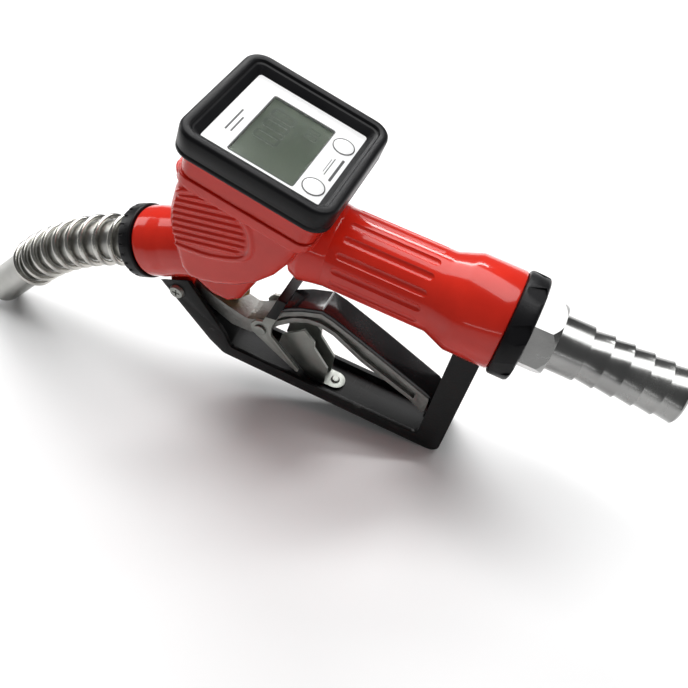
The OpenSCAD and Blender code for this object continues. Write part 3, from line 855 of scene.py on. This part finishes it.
def digits():
    """Three large zeros with a point, and two small ones."""
    bm = bmesh.new()
    for along in (-6.5, 3.0, 11.2):
        join(bm, digit("abcdef", 12.5, 6.4, 1.25, along, -7.4))
    join(bm, put(slab(1.5, 1.5, 0.4, -1.3, -1.24, 2), Matrix.Translation((-1.8, -1.7, 0))))
    for along in (8.6, 13.2):
        join(bm, digit("abcdef", 6.0, 3.2, 0.7, along, 8.2))
    make_piece(bm, "lcd_digits", FACE, "lcd_ink", "nozzle_body")


def button(name, body, node, y):
    """A domed cap with a printed ring round its top."""
    cap = turned(
        [(0, 0.46), (2.4, 0.44), (4.2, 0.36), (5.2, 0.24), (5.62, 0.05), (5.62, -2.8),
         (2, -3), (2, -4.3), (0, -4.3)], 64,
    )
    place = Matrix.Translation((23.2, y, 0))
    make_piece(
        put(cap, place), name, FACE, "white_label", body, stands_for=(node,), sharp=45
    )
    ring = turned([(4.95, 0.34), (5.5, 0.24), (5.5, 0.1), (4.95, 0.1), (4.95, 0.34)], 64)
    make_piece(put(ring, place), name + "_ring", FACE, "label_ink", body)


def label_marks():
    """Plain printed bars, in place of wording."""
    bm = bmesh.new()
    for x, y, length, width in [(27.2, -3, 1.3, 17), (23.6, -3, 0.45, 13), (22.4, -3, 0.3, 10)]:
        join(bm, put(slab(length, width, length * 0.3, 0.0, 0.05, 2),
                     Matrix.Translation((x, y, 0))))
    for x, y, length, width in [(-23.6, -8, 0.9, 17), (-21.0, -10, 0.8, 12)]:
        join(bm, put(slab(length, width, length * 0.3, 0.0, 0.05, 2),
                     Matrix.Translation((x, y, 0))))
    make_piece(bm, "label_bars", FACE, "label_ink", "nozzle_body")


# ------------------------------------------------------------------ inlet nut and tail
def inlet_nut():
    """Black grip ring with slanted wedge recesses."""
    shape = turned(
        [(14.4, -8.6), (20.8, -8.6), (20.8, 0.2), (25.6, 0.2), (26.5, 0.7), (26.9, 1.6),
         (26.9, 9.4), (26.3, 10.6), (25, 11.2), (14.4, 11.2), (14.4, -8.6)], 120,
    )
    cuts = bmesh.new()
    for k in range(8):
        wedge = plate([(26.9, 2.2), (30, 2.2), (30, 12), (24.9, 12), (25.4, 9.5)], -4.6, 4.6)
        slant = Matrix.Rotation(math.radians(45 * k + 10), 4, "Z")
        lean = Matrix.Translation((27, 0, 6)) @ Matrix.Rotation(math.radians(26), 4, "X")
        join(cuts, put(put(wedge, lean @ Matrix.Translation((-27, 0, -6))), slant))
    shape = carved(shape, cuts)
    return make_piece(
        shape, "inlet_ring", GRIP, "black_plastic", "nozzle_body",
        stands_for=("inlet_nut",), edge=0.35, steps=3,
    )


def hose_tail():
    """Hexagon, plain land and barbs, turned from one bar."""
    wall = [(10, -26), (13.5, -26), (13.5, -13.6), (17.5, -13.6), (17.5, -9.1), (14.2, -9.1),
            (14.2, 11.5), (16.2, 11.5), (16.2, 24.2), (14, 24.2), (14, 38.7)]
    for k in range(5):
        start = 38.7 + 9.7 * k
        wall += [(13.75, start + 0.1), (12.5, start + 0.35), (12.45, start + 0.7),
                 (13.5, start + 9.0), (13.7, start + 9.5)]
    wall += [(13.4, 87.4), (12.6, 88.1), (11.2, 88.2), (10.3, 88.2), (10, 87.6), (10, -26)]
    hexagon = bmesh.new()
    to_corner = 17 / math.cos(math.radians(30))
    bmesh.ops.create_cone(
        hexagon, cap_ends=True, segments=6, radius1=to_corner, radius2=to_corner, depth=12.6,
        matrix=Matrix.Translation((0, 0, 17.7)) @ Matrix.Rotation(math.radians(8), 4, "Z"),
    )
    chamfer = turned([(0, 11.4), (19.4, 11.4), (19.7, 11.9), (19.7, 20.4), (17.3, 24), (0, 24)])
    hexagon = carved(hexagon, chamfer, "INTERSECT")
    hexagon = carved(hexagon, turned([(0, 10), (15.4, 10), (15.4, 26), (0, 26)], 64))
    return make_piece(
        join(turned(wall, 96), hexagon), "hose_tail_turned", GRIP, "tail_aluminium",
        "hose_end", stands_for=("hose_tail",), sharp=24,
    )


def outlet_ring():
    """Black union ring behind the spout's spring, notched round its front edge."""
    shape = turned(
        [(12.1, 0), (19.9, 0), (20.7, 0.4), (21, 1.2), (21, 7.6), (20.5, 8.4), (17.95, 8.5),
         (17.95, 4.1), (12.1, 4.1), (12.1, 0)], 96,
    )
    notches = bmesh.new()
    for k in range(24):
        join(notches, put(slab(2, 1.5, 0.2, -1, 3.6, 2),
                          Matrix.Rotation(math.radians(15 * k), 4, "Z")
                          @ Matrix.Translation((21.3, 0, 0))))
    return make_piece(
        carved(shape, notches), "outlet_ring", OUTLET, "black_plastic", "nozzle_body",
        stands_for=("outlet_nut",), edge=0.25, steps=2,
    )


outlet_ring()
casting_grip()
casting_head()
casting_lug()
spout_tube()
spout_spring()
meter_housing()
meter_frame()
label()
display()
window_line()
digits()
button("button_reset", "reset", "reset_button", -19.8)
button("button_calibrate", "calibrate", "calibrate_button", 13.8)
label_marks()
inlet_nut()
hose_tail()

SOFT_EDGES = {
    "spring_end_ring": 0.3, "lever_guard": 0.45, "guard_screw": 0.2,
    "hold_open_rack": 0.3, "rack_rivets": 0.25, "lever": 0.9, "lever_cover": 0.9,
    "lever_pivot_screw": 0.25, "pivot_screw_nut": 0.25, "clip_pin": 0.25,
    "hold_open_clip": 0.3, "packing_nut": 0.25,
}
for node, edge in SOFT_EDGES.items():
    piece = refine(node, node + "_finished", edge, 3)
    if node == "hold_open_clip":
        # the thumb tab, above this level, gets the black finish
        second_finish_above(piece, NOZZLE @ Vector((-118, 0, -60)), (0, 0, 1), "black_paint")

for node, thing in nodes.items():
    thing.data.materials.clear()
    thing.data.materials.append(FINISH[slot_of_node[node]])


def shorten(spring):
    """A spring inside the body is given its own copy of its mesh."""
    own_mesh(nodes[spring])


shorten("valve_spring")
shorten("check_spring")


# ------------------------------------------------------------------ studio
def floor():
    """A plain pale bench."""
    bm = bmesh.new()
    bmesh.ops.create_grid(bm, x_segments=1, y_segments=1, size=6)
    mesh = bpy.data.meshes.new("bench")
    bm.to_mesh(mesh)
    bm.free()
    material = bpy.data.materials.new("bench")
    material.use_nodes = True
    shader = material.node_tree.nodes["Principled BSDF"]
    shader.inputs["Base Color"].default_value = (0.9, 0.9, 0.9, 1)
    shader.inputs["Roughness"].default_value = 0.45
    mesh.materials.append(material)
    bench = bpy.data.objects.new("bench", mesh)
    bpy.context.scene.collection.objects.link(bench)


def lamp(name, spot, aim, size, power):
    """A rectangular area light at a spot, aimed at a point."""
    light = bpy.data.lights.new(name, "AREA")
    light.shape = "RECTANGLE"
    light.size, light.size_y = size
    light.energy = power
    thing = bpy.data.objects.new(name, light)
    thing.location = spot
    thing.rotation_mode = "QUATERNION"
    thing.rotation_quaternion = (Vector(aim) - Vector(spot)).to_track_quat("-Z", "Y")
    bpy.context.scene.collection.objects.link(thing)


floor()
lamp("softbox over", (0.25, 0.8, 2.2), (0, 0, 0), (3.4, 1.7), 74)
lamp("strip behind", (-0.4, 1.1, 1.0), (0, 0, 0.12), (1.2, 0.16), 9)
lamp("side panel", (-1.9, 0.3, 0.8), (-0.1, 0, 0.1), (0.8, 1.2), 10)
lamp("low front", (0.5, -1.6, 0.25), (0.05, 0, 0.08), (1.2, 0.05), 0.8)

world = bpy.data.worlds.new("studio")
world.use_nodes = True
world.node_tree.nodes["Background"].inputs["Color"].default_value = (0.95, 0.96, 0.97, 1)
world.node_tree.nodes["Background"].inputs["Strength"].default_value = 0.13
bpy.context.scene.world = world

bpy.context.scene.view_settings.view_transform = "Standard"

AZIMUTH, ELEVATION, ROLL = (math.radians(a) for a in (24.63, 46.51, -1.84))
EYE = (-16.45, -280.4, 276.9)
LENS = 41.94
SENSOR = 36


def set_camera():
    """The camera looks along its azimuth and elevation, turned a little about its view."""
    back = Vector((
        math.sin(AZIMUTH) * math.cos(ELEVATION),
        -math.cos(AZIMUTH) * math.cos(ELEVATION),
        math.sin(ELEVATION),
    ))
    level = Vector((math.cos(AZIMUTH), math.sin(AZIMUTH), 0))
    right = Matrix.Rotation(ROLL, 3, back) @ level
    seat = Matrix((right, back.cross(right), back)).transposed().to_4x4()
    seat.translation = NOZZLE @ Vector(EYE)
    data = bpy.data.cameras.new("camera")
    data.sensor_width = SENSOR
    data.lens = LENS
    camera = bpy.data.objects.new("camera", data)
    camera.matrix_world = seat
    bpy.context.scene.collection.objects.link(camera)
    bpy.context.scene.camera = camera


set_camera()
